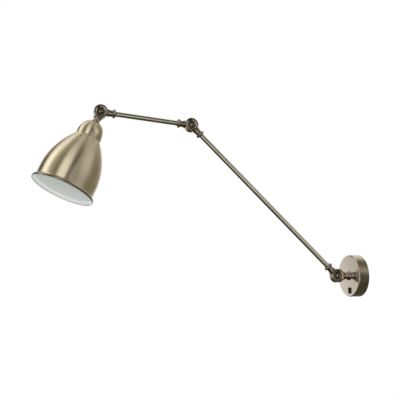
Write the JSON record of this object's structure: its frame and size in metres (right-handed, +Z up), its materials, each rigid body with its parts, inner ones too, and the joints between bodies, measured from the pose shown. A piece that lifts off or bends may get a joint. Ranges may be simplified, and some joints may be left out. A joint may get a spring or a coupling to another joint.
{
  "type": "articulating wall lamp",
  "caption": "Wall lamp on a round plate with a rocker switch: jointed tube arms on friction knuckles carry a bell shade over a screw lampholder.",
  "frame": {"origin": "centre of the wall plate's back, on the wall", "axes": "+Y points into the wall, the lamp stands out along -Y, +Z is up; every arm joint turns about X"},
  "size_m": [0.1476, 0.7904, 0.4463],
  "materials": {
    "antique_brass_plate": "satin",
    "antique_brass_shade": "brushed",
    "antique_brass_tube": "polished",
    "bronze_knuckle": "polished",
    "zinc_steel": "zinc plated",
    "fibre": "matte",
    "brass_contacts": "bright",
    "white_nylon": "moulded",
    "black_nylon": "moulded",
    "black_phenolic": "moulded",
    "cable_jacket": "matte"
  },
  "bodies": {
    "wall_mount": {"wall_plate": "antique_brass_plate", "mounting_bracket": "zinc_steel", "plate_screws": "zinc_steel", "earth_screw": "brass_contacts", "terminal_block": "white_nylon", "terminal_screws": "brass_contacts", "switch_housing": "black_nylon", "switch_terminals": "brass_contacts"},
    "rocker": {"switch_rocker": "black_nylon"},
    "swivel": {"wall_collar": "bronze_knuckle", "wall_nipple": "zinc_steel", "wall_nipple_washer": "zinc_steel", "wall_nipple_nut": "zinc_steel", "wall_knuckle_fixed_half": "bronze_knuckle", "wall_pivot_screw": "bronze_knuckle", "wall_pivot_nut": "bronze_knuckle", "wall_spring_washer": "zinc_steel", "wall_friction_washer": "fibre"},
    "lower_arm": {"wall_knuckle_arm_half": "bronze_knuckle", "lower_arm_wall_collar": "bronze_knuckle", "lower_arm_wall_nipple": "zinc_steel", "lower_arm_tube": "antique_brass_tube", "lower_arm_cable": "cable_jacket", "lower_arm_elbow_collar": "bronze_knuckle", "lower_arm_elbow_nipple": "zinc_steel", "elbow_knuckle_lower_half": "bronze_knuckle", "elbow_pivot_screw": "bronze_knuckle", "elbow_pivot_nut": "bronze_knuckle", "elbow_spring_washer": "zinc_steel", "elbow_friction_washer": "fibre"},
    "upper_arm": {"elbow_knuckle_upper_half": "bronze_knuckle", "upper_arm_elbow_collar": "bronze_knuckle", "upper_arm_elbow_nipple": "zinc_steel", "upper_arm_tube": "antique_brass_tube", "upper_arm_cable": "cable_jacket", "upper_arm_shade_collar": "bronze_knuckle", "upper_arm_shade_nipple": "zinc_steel", "shade_knuckle_arm_half": "bronze_knuckle", "shade_pivot_screw": "bronze_knuckle", "shade_pivot_nut": "bronze_knuckle", "shade_spring_washer": "zinc_steel", "shade_friction_washer": "fibre"},
    "head": {"shade_knuckle_head_half": "bronze_knuckle", "cap_ring": "bronze_knuckle", "head_nipple": "zinc_steel", "shade_cap": "antique_brass_shade", "cap_nut": "zinc_steel", "lampholder_body": "black_phenolic", "screw_shell": "brass_contacts", "centre_contact": "brass_contacts", "shade_ring": "black_phenolic", "shade": "antique_brass_shade"}
  },
  "joints": [
    {"name": "base_swivel", "type": "hinge", "parent": "wall_mount", "child": "swivel", "pos_m": [0, -0.0266, 0], "axis": [0, 1, 0], "range_deg": [-90, 90]},
    {"name": "wall_tilt", "type": "hinge", "parent": "swivel", "child": "lower_arm", "pos_m": [0, -0.0587, 0], "axis": [-1, 0, 0], "range_deg": [-130, 40]},
    {"name": "elbow", "type": "hinge", "parent": "lower_arm", "child": "upper_arm", "pos_m": [0, -0.42145, 0.36275], "axis": [-1, 0, 0], "range_deg": [-49, 130]},
    {"name": "head_tilt", "type": "hinge", "parent": "upper_arm", "child": "head", "pos_m": [0, -0.63986, 0.37878], "axis": [-1, 0, 0], "range_deg": [-39, 180]},
    {"name": "switch_rock", "type": "hinge", "parent": "wall_mount", "child": "rocker", "pos_m": [0, -0.0266, -0.036], "axis": [-1, 0, 0], "range_deg": [0, 22]}
  ]
}
